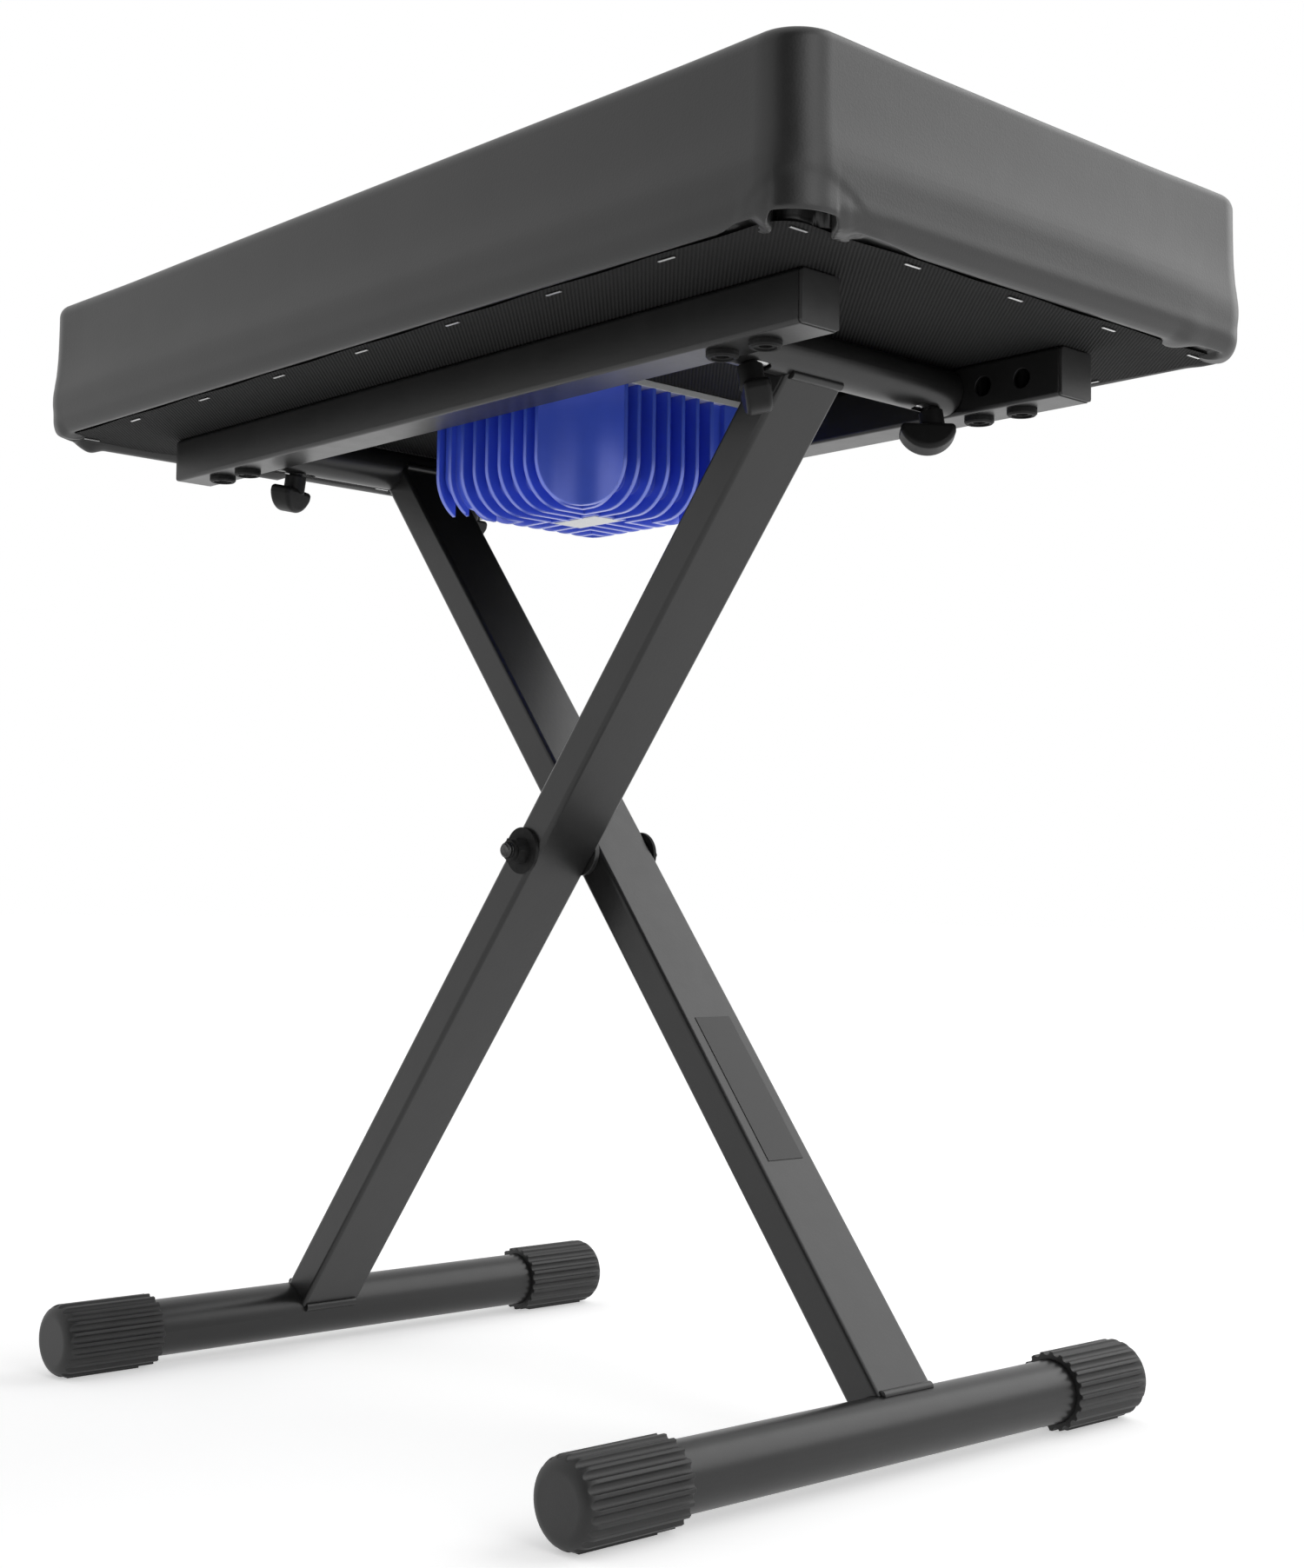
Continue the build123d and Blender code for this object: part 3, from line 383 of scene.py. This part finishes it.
# Insets of the columns that cross the top
OVER = np.array([10, 12.5, 16, 20, 25, 30, 38, 48, 60, 75, 92, 110, 130, 150, 165, 168.3]) * MM
SWELL_IN = 1.0 * MM          # the pad starts this much smaller and swells out again
HELD_BELOW = 14 * MM         # the simulation holds the pad up to here
GROW_FROM, GROW_OVER = 16 * MM, 16 * MM      # its movement fades in from here, over this height
NEIGHBOURS, NEAR = 12, 7 * MM        # how its movement is carried over
HEM_INSET, HEM_CLEAR = 8 * MM, 0.9 * MM      # this far in, the hem stays below the board
# The arch over a gathered corner, in millimetres along the rim and up, and its strength at each corner
ARCH_MIDDLE, ARCH_TOP, ARCH_BEHIND, ARCH_AHEAD, ARCH_DEPTH = 5, 18.5, 8, 10, 0.6
ARCH_STRENGTH = (1.0, 0.45, 0.8, 0.4)


def smooth(x):
    x = np.clip(x, 0.0, 1.0)
    return x * x * (3 - 2 * x)


def corner_points(k, inset, angle):
    """Points on corner k of the outline drawn in by an inset, at an angle"""
    radius = np.maximum(SEAT_CORNER - inset, np.minimum(INNER_RADIUS, (SEAT_HALF[1] - inset) * INNER_SHARE))
    x = SIGNS[k][0] * (SEAT_HALF[0] - inset - radius) + radius * np.cos(angle)
    y = SIGNS[k][1] * (SEAT_HALF[1] - inset - radius) + radius * np.sin(angle)
    return x, y


def rows_round(fine):
    """Rows round the rim: corner, place from its middle, angle on the arc or None, share of the next side"""
    rows = []
    for k in range(4):
        first = -pi / 2 + k * pi / 2
        length = 2 * (SEAT_HALF[(k + 1) % 2] - SEAT_CORNER)
        steps = max(4, round(ARC / fine))
        rows += [(k, -ARC / 2 + ARC * i / steps, first + pi / 2 * i / steps, None)
                 for i in range(steps + 1)]
        reach = min(FINE_REACH - ARC / 2, 0.4 * length)
        count = max(2, round(reach / fine))
        near = [reach * i / count for i in range(1, count + 1)]
        middle = max(2, round((length - 2 * reach) / COARSE))
        between = [reach + (length - 2 * reach) * i / middle for i in range(1, middle)]
        for place in near + between + [length - p for p in reversed(near)]:
            rows.append((k, ARC / 2 + place, None, place / length))
    return rows


def plan(rows, inset):
    """Where each row lies in plan at its insets"""
    x, y = np.zeros_like(inset), np.zeros_like(inset)
    for i, (k, place, angle, share) in enumerate(rows):
        if share is None:
            x[i], y[i] = corner_points(k, inset[i], angle)
        else:
            after = (k + 1) % 4
            edge = k * pi / 2
            xa, ya = corner_points(k, inset[i], edge)
            xb, yb = corner_points(after, inset[i], edge)
            x[i], y[i] = xa + (xb - xa) * share, ya + (yb - ya) * share
    return x, y


def from_corners(row):
    """A row's place from the middle of the corner behind it and of the one ahead"""
    k, place = row[0], row[1]
    ahead = place - 2 * (SEAT_HALF[(k + 1) % 2] - SEAT_CORNER) - ARC
    return (k, place), ((k + 1) % 4, ahead)


def hem_curve(row):
    """Control points of a row's lower curve"""
    (k, place), (after, ahead) = from_corners(row)
    near, at = (k, place) if place < -ahead else (after, ahead)
    keys = CORNERS[near]
    places = [key[0] for key in keys]
    curves = np.array([HEM[key[1]] for key in keys], float)
    at = np.full(len(HEM["end"]), at / MM)
    if keys is NEAR_CORNER:
        depth = np.clip(np.array(HEM["pocket"])[:, 0] / FAN_DEPTH, 0, 1)
        at = FAN_MIDDLE + (at - FAN_MIDDLE) / (1 + depth)
    span = np.clip(np.searchsorted(places, at) - 1, 0, len(keys) - 2)
    first, last = np.take(places, span), np.take(places, span + 1)
    share = smooth((at - first) / (last - first))[:, None]
    which = np.arange(len(at))
    return (1 - share) * curves[span, which] + share * curves[span + 1, which]


def curve_weights(points, per_span):
    """Weights that turn control points into a Catmull-Rom curve"""
    weights = []
    for span in range(points - 1):
        for step in range(per_span):
            t = step / per_span
            four = (0.5 * (-t + 2 * t**2 - t**3), 0.5 * (2 - 5 * t**2 + 3 * t**3),
                    0.5 * (t + 4 * t**2 - 3 * t**3), 0.5 * (-t**2 + t**3))
            line = np.zeros(points)
            for offset, w in zip((-1, 0, 1, 2), four):
                line[min(max(span + offset, 0), points - 1)] += w
            weights.append(line)
    weights.append(np.eye(points)[-1])
    return np.array(weights)


def board_depth(x, y):
    """How far a place lies inside the board's outline in plan"""
    u, v = np.abs(x) - (BOARD_HALF[0] - BOARD_CORNER), np.abs(y) - (BOARD_HALF[1] - BOARD_CORNER)
    outside = np.hypot(np.maximum(u, 0), np.maximum(v, 0)) + np.minimum(np.maximum(u, v), 0)
    return BOARD_CORNER - outside


def short_side(row):
    """One on the seat's short sides, nought on its long ones, changing over at the corners"""
    k, place, angle, _ = row
    share = 1.0 if angle is None else 0.5 + place / ARC
    return share if k % 2 == 0 else 1 - share


def cushion_grid(fine, per_span):
    """Insets, heights and rows of the cushion's skin, from the hem up the side and over the top"""
    rows = rows_round(fine)
    lower = curve_weights(len(HEM["end"]), per_span) @ np.stack([hem_curve(row) for row in rows])
    inset, height = lower[..., 0][:, ::-1] * MM, lower[..., 1][:, ::-1] * MM
    short = np.array([short_side(row) for row in rows])[:, None]
    edge = (EDGE_LONG - EDGE_EASE * short) * MM
    bend = np.linspace(0, pi / 2, BEND_STEPS)
    side = HEM_TOP + (SEAT_HEIGHT - edge - HEM_TOP) * np.linspace(0, 1, SIDE_STEPS)[1:-1]
    over = np.tile(OVER, (len(rows), 1))
    up_inset = np.concatenate([0 * side, edge * (1 - np.cos(bend)), over], axis=1)
    up_height = np.concatenate([side, SEAT_HEIGHT - edge * (1 - np.sin(bend)), 0 * over + SEAT_HEIGHT],
                               axis=1)
    grow = smooth((up_height - 20 * MM) / (30 * MM))
    up_inset = up_inset + SWELL_IN * grow * (up_inset < edge)
    up_height = up_height - SWELL_IN * smooth((up_inset - 2 * MM) / edge)
    inset = np.concatenate([inset, up_inset], axis=1)
    height = np.concatenate([height, up_height], axis=1)
    return rows, inset, height


def corner_hollow(rows, height):
    """The hollow under an arch over each gathered corner, as a change of inset"""
    change = np.zeros_like(height)
    high = height / MM
    for i, row in enumerate(rows):
        for k, at in from_corners(row):
            at = at / MM * (-1 if k == 3 else 1)
            bow = (at - ARCH_MIDDLE) / (ARCH_BEHIND if at < ARCH_MIDDLE else ARCH_AHEAD)
            arch = ARCH_TOP - bow * bow
            # Along the rim it fades out by 56 ahead and 30 behind, and up the side at the arch and the hem
            fade = smooth((56 - at) / 25) * smooth((at + 30) / 14)
            hollow = smooth((arch + 2.5 - high[i]) / 6) * smooth((high[i] - 1.5) / 9)
            change[i] += ARCH_DEPTH * ARCH_STRENGTH[k] * fade * hollow * MM
    return change


def skin_mesh(name, points, rows, columns):
    """A closed skin from a grid of points that runs round the seat"""
    mesh = bpy.data.meshes.new(name)
    faces = []
    for i in range(rows):
        after = (i + 1) % rows
        for j in range(columns - 1):
            faces.append((i * columns + j, after * columns + j, after * columns + j + 1, i * columns + j + 1))
    faces.append([i * columns for i in reversed(range(rows))])
    faces.append([i * columns + columns - 1 for i in range(rows)])
    mesh.from_pydata(points.reshape(-1, 3).tolist(), [], faces)
    mesh.update()
    obj = bpy.data.objects.new(name, mesh)
    scene.collection.objects.link(obj)
    return obj


def grid_points(rows, inset, height):
    x, y = plan(rows, inset)
    return np.stack([x, y, SEAT_LOW + height], axis=-1)


def vertex_places(mesh):
    flat = np.empty(len(mesh.vertices) * 3)
    mesh.vertices.foreach_get("co", flat)
    return flat.reshape(-1, 3)


def swell(voxel=6 * MM, pressure=4.0, frames=20, cap=3.2 * MM, smoothings=30):
    """Inflate a plain copy of the pad with a cloth simulation; returns its points and how far they moved"""
    rows, inset, height = cushion_grid(COARSE, 1)
    copy = skin_mesh("swell", grid_points(rows, inset, height), len(rows), inset.shape[1])
    remesh = copy.modifiers.new("even", "REMESH")
    remesh.mode = "VOXEL"
    remesh.voxel_size = voxel
    bpy.context.view_layer.objects.active = copy
    bpy.ops.object.modifier_apply(modifier="even")
    before = vertex_places(copy.data)
    held = copy.vertex_groups.new(name="held")
    held.add([int(i) for i in np.nonzero(before[:, 2] < SEAT_LOW + HELD_BELOW)[0]], 1.0, "REPLACE")
    cloth = copy.modifiers.new("cloth", "CLOTH")
    cloth.settings.quality = 4
    cloth.settings.use_pressure = True
    cloth.settings.uniform_pressure_force = pressure
    cloth.settings.vertex_group_mass = "held"
    cloth.settings.effector_weights.gravity = 0.0
    cloth.collision_settings.use_collision = False
    for step in range(1, frames + 1):
        scene.frame_set(step)
    bpy.ops.object.modifier_apply(modifier="cloth")
    moved = vertex_places(copy.data) - before
    scene.frame_set(1)
    moved *= cap / (cap + np.linalg.norm(moved, axis=1, keepdims=True))
    ends = np.array([edge.vertices[:] for edge in copy.data.edges])
    count = np.bincount(ends.ravel(), minlength=len(before))[:, None]
    for step in range(smoothings):
        total = np.zeros_like(moved)
        np.add.at(total, ends[:, 0], moved[ends[:, 1]])
        np.add.at(total, ends[:, 1], moved[ends[:, 0]])
        moved = 0.4 * moved + 0.6 * total / count
    bpy.data.objects.remove(copy, do_unlink=True)
    return before, moved


def spread(points, before, moved):
    """Carry the simulated movement over to other points"""
    tree = KDTree(len(before))
    for i, place in enumerate(before):
        tree.insert(place, i)
    tree.balance()
    result = np.zeros_like(points)
    for i, place in enumerate(points):
        found = tree.find_n(place, NEIGHBOURS)
        near = [f[1] for f in found]
        weight = np.exp(-(np.array([f[2] for f in found]) / NEAR) ** 2) + 1e-6
        result[i] = (weight[:, None] * moved[near]).sum(0) / weight.sum()
    return result


def make_cushion():
    rows, inset, height = cushion_grid(FINE, 4)
    inset = inset + corner_hollow(rows, height)
    points = grid_points(rows, inset, height)
    under = board_depth(points[..., 0], points[..., 1]) > -0.6 * MM
    hem = under & (inset > HEM_INSET) & (height < 20 * MM)
    points[..., 2] = np.where(hem, np.minimum(points[..., 2], SEAT_LOW + HEM_CLEAR), points[..., 2])
    flat = points.reshape(-1, 3)
    grown = smooth((flat[:, 2:] - SEAT_LOW - GROW_FROM) / GROW_OVER)
    before, moved = swell()
    flat = flat + spread(flat, before, moved) * grown
    points = flat.reshape(points.shape)
    obj = skin_mesh("seat_cushion", points, len(rows), inset.shape[1])
    obj.data.polygons.foreach_set("use_smooth", [True] * len(obj.data.polygons))
    return obj


cushion = make_cushion()
dress(cushion, MATERIALS["vinyl"])
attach(cushion, "seat")
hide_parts("vinyl_cover", "seat_foam")

# Dust cover: a thin stretched cloth that ripples between its staples

STAPLE_PITCH = 75 * MM
SLACK_REACH, SLACK = 9 * MM, 0.9 * MM


def make_dust_cloth(step=4 * MM):
    across, deep = round(2 * DUST_HALF[0] / step), round(2 * DUST_HALF[1] / step)
    u, v = np.meshgrid(np.linspace(-1, 1, across + 1), np.linspace(-1, 1, deep + 1), indexing="ij")
    x, y = u * DUST_HALF[0], v * DUST_HALF[1]
    # Corners are drawn in along their diagonals to a round corner
    cut_x, cut_y = np.abs(x) - (DUST_HALF[0] - DUST_CORNER), np.abs(y) - (DUST_HALF[1] - DUST_CORNER)
    square = np.maximum(np.maximum(cut_x, cut_y), 1e-9)
    round_in = np.where((cut_x > 0) & (cut_y > 0), square / np.maximum(np.hypot(cut_x, cut_y), 1e-9), 1.0)
    x = np.where(round_in < 1, np.sign(x) * (DUST_HALF[0] - DUST_CORNER + cut_x * round_in), x)
    y = np.where(round_in < 1, np.sign(y) * (DUST_HALF[1] - DUST_CORNER + cut_y * round_in), y)
    from_end, from_side = DUST_HALF[0] - np.abs(x), DUST_HALF[1] - np.abs(y)
    wave_end = 0.5 - 0.5 * np.cos(2 * pi * y / STAPLE_PITCH)
    wave_side = 0.5 - 0.5 * np.cos(2 * pi * x / STAPLE_PITCH)
    sag = (wave_end * np.exp(-(from_end / SLACK_REACH) ** 2)
           + wave_side * np.exp(-(from_side / SLACK_REACH) ** 2))
    uneven = 0.65 + 0.35 * np.sin(37 * x + 3 * np.sin(23 * y)) * np.cos(29 * y)
    z = RAIL_TOP + 0.3 * MM - SLACK * sag * uneven
    mesh = bpy.data.meshes.new("dust_cloth")
    points = np.stack([x, y, z], axis=-1).reshape(-1, 3)
    deep += 1
    faces = [(i * deep + j, i * deep + j + 1, (i + 1) * deep + j + 1, (i + 1) * deep + j)
             for i in range(across) for j in range(deep - 1)]
    mesh.from_pydata(points.tolist(), [], faces)
    mesh.update()
    mesh.polygons.foreach_set("use_smooth", [True] * len(mesh.polygons))
    obj = bpy.data.objects.new("dust_cloth", mesh)
    scene.collection.objects.link(obj)
    return obj


dust = make_dust_cloth()
dress(dust, MATERIALS["dust_cloth"])
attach(dust, "seat")
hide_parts("dust_cover")

# Springs: wound wire in place of the plain sleeves

ROUND, WIRE_SIDES = 20, 8    # steps in a turn, and round the wire
FLAT_SHARE = 0.07            # of the wire, at each end


def make_spring(name, start, along, length, radius, wire, coils):
    """Wire wound from a place along an axis, with flat end coils"""
    first = along.orthogonal().normalized()
    second = first.cross(along)
    count = round(coils * ROUND)
    points, faces = [], []
    for i in range(count + 1):
        share = i / count
        turn = 2 * pi * coils * share
        out = cos(turn) * first + sin(turn) * second
        wound = float(smooth((share - FLAT_SHARE) / (1 - 2 * FLAT_SHARE)))
        centre = start + (wire / 2 + (length - wire) * wound) * along + radius * out
        for j in range(WIRE_SIDES):
            angle = 2 * pi * j / WIRE_SIDES
            points.append(centre + wire / 2 * (cos(angle) * out + sin(angle) * along))
    for i in range(count):
        for j in range(WIRE_SIDES):
            after = (j + 1) % WIRE_SIDES
            a, b = i * WIRE_SIDES, (i + 1) * WIRE_SIDES
            faces.append((a + j, a + after, b + after, b + j))
    faces.append(list(range(WIRE_SIDES - 1, -1, -1)))
    faces.append([count * WIRE_SIDES + j for j in range(WIRE_SIDES)])
    mesh = bpy.data.meshes.new(name)
    mesh.from_pydata(points, [], faces)
    mesh.update()
    mesh.polygons.foreach_set("use_smooth", [True] * len(mesh.polygons))
    obj = bpy.data.objects.new(name, mesh)
    scene.collection.objects.link(obj)
    dress(obj, MATERIALS["bright_steel"])
    return obj


for leg, x in (("a", TOP_HALF), ("b", -TOP_HALF)):
    for end, side in (("front", -1), ("rear", 1)):
        place = f"{leg}_{end}"
        fixed = Vector((x, side * SPRING_STOP, TOP_AXIS))
        spring = make_spring(f"wound_spring_{place}", fixed, Vector((0, side, 0)), SPRING_LENGTH,
                             SPRING_RADIUS, SPRING_WIRE, SPRING_COILS)
        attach(spring, f"leg_{leg}")
        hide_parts(f"plunger_spring_{place}")
        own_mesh(spring)

# The moving mass hangs between two springs, each fixed at its outer end
outer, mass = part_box("shaker_springs"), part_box("shaker_yoke")
for name, fixed_at, free_at in (("lower", outer[0][2], mass[0][2]), ("upper", outer[1][2], mass[1][2])):
    fixed = Vector((0, 0, fixed_at))
    length = abs(free_at - fixed_at)
    along = Vector((0, 0, 1 if free_at > fixed_at else -1))
    spring = make_spring(f"mass_spring_{name}", fixed, along, length, outer[1][0] - MASS_WIRE / 2, MASS_WIRE,
                         MASS_COILS)
    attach(spring, "seat")
    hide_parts("shaker_springs")
    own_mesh(spring)

# Stage: a pale floor, a white surround and soft light

FLOOR_GLOW, FLOOR_LOOK = 0.30, 0.14      # the floor's own light, and what is added where it is looked at
SURROUND_LIGHT = 0.72

bpy.ops.mesh.primitive_plane_add(size=60, location=(0, 0, 0))
floor = bpy.context.object
floor.name = "floor"
ground = Nodes("floor")
ground.set(Base_Color=ground.ramp(ground.noise(3, 2.0), 0.3, 0.7, shade(0.79), shade(0.81)),
           Roughness=0.9, Specular_IOR_Level=0.0, Emission_Color=(1, 1, 1, 1))
floor.data.materials.append(ground.material)


def plainly_seen(tree):
    """One where the eye, a mirror or a glass looks at a surface, nought where it only gives light"""
    path = tree.nodes.new("ShaderNodeLightPath")
    total = path.outputs["Is Camera Ray"]
    for kind in ("Is Glossy Ray", "Is Transmission Ray"):
        both = tree.nodes.new("ShaderNodeMath")
        both.operation = "MAXIMUM"
        tree.links.new(total, both.inputs[0])
        tree.links.new(path.outputs[kind], both.inputs[1])
        total = both.outputs["Value"]
    return total


lift = ground.add("ShaderNodeMath", operation="MULTIPLY_ADD")
lift.inputs[1].default_value = FLOOR_LOOK
lift.inputs[2].default_value = FLOOR_GLOW
ground.join(plainly_seen(ground.tree), lift.inputs[0])
ground.join(lift.outputs["Value"], ground.shader.inputs["Emission Strength"])

world = bpy.data.worlds.new("surround")
scene.world = world
world.use_nodes = True
tree = world.node_tree
tree.nodes.clear()
output = tree.nodes.new("ShaderNodeOutputWorld")
both = tree.nodes.new("ShaderNodeMixShader")
seen = tree.nodes.new("ShaderNodeBackground")
light = tree.nodes.new("ShaderNodeBackground")
seen.inputs["Color"].default_value = (1, 1, 1, 1)
seen.inputs["Strength"].default_value = 1.0
light.inputs["Color"].default_value = (1, 1, 1, 1)
light.inputs["Strength"].default_value = SURROUND_LIGHT
tree.links.new(plainly_seen(tree), both.inputs["Fac"])
tree.links.new(light.outputs["Background"], both.inputs[1])
tree.links.new(seen.outputs["Background"], both.inputs[2])
tree.links.new(both.outputs["Shader"], output.inputs["Surface"])


def facing(obj, place, target):
    obj.location = place
    obj.rotation_euler = (Vector(target) - Vector(place)).to_track_quat("-Z", "Y").to_euler()
    obj.visible_camera = False


def softbox(name, place, target, size, power):
    lamp = bpy.data.lights.new(name, "AREA")
    lamp.shape = "RECTANGLE"
    lamp.size, lamp.size_y = size
    lamp.energy = power
    obj = bpy.data.objects.new(name, lamp)
    scene.collection.objects.link(obj)
    facing(obj, place, target)


def dark_card(name, place, target, size):
    bpy.ops.mesh.primitive_plane_add(size=1)
    card = bpy.context.object
    card.name = name
    card.scale = (*size, 1)
    felt = Nodes(name)
    felt.set(Base_Color=felt.ramp(felt.noise(40), 0.3, 0.7, shade(0.02), shade(0.03)), Roughness=1.0,
             Specular_IOR_Level=0.0)
    card.data.materials.append(felt.material)
    facing(card, place, target)


softbox("key", (1.1, 1.9, 1.9), (0, 0, 0.4), (2.6, 2.2), 29)
softbox("side", (2.3, -0.2, 1.3), (0.3, -0.1, 0.5), (1.0, 1.6), 9)
dark_card("camera_side_card", (1.21, -1.93, 0.75), (0.3, -0.15, 0.5), (1.7, 1.5))
dark_card("upper_front_card", (1.07, -1.25, 1.92), (0.3, -0.15, 0.58), (1.5, 1.5))

# Camera at the photograph's place

CAMERA_PLACE = (0.9018, -0.7868, 0.2646)
TURN, RISE, ROLL = radians(47.095), radians(-3.217), radians(0.789)
back = Vector((sin(TURN) * cos(RISE), -cos(TURN) * cos(RISE), sin(RISE)))
right = Vector((cos(TURN), sin(TURN), 0))
up = back.cross(right)
lean_right = cos(ROLL) * right + sin(ROLL) * up
lean_up = -sin(ROLL) * right + cos(ROLL) * up
lens = bpy.data.cameras.new("camera")
lens.sensor_fit = "VERTICAL"
lens.sensor_height = 36.0
lens.lens = 50.12
lens.clip_start = 0.01
lens.clip_end = 200
camera = bpy.data.objects.new("camera", lens)
scene.collection.objects.link(camera)
turn = Matrix((lean_right, lean_up, back)).transposed().to_4x4()
camera.matrix_world = Matrix.Translation(CAMERA_PLACE) @ turn
scene.camera = camera

scene.view_settings.view_transform = "Standard"
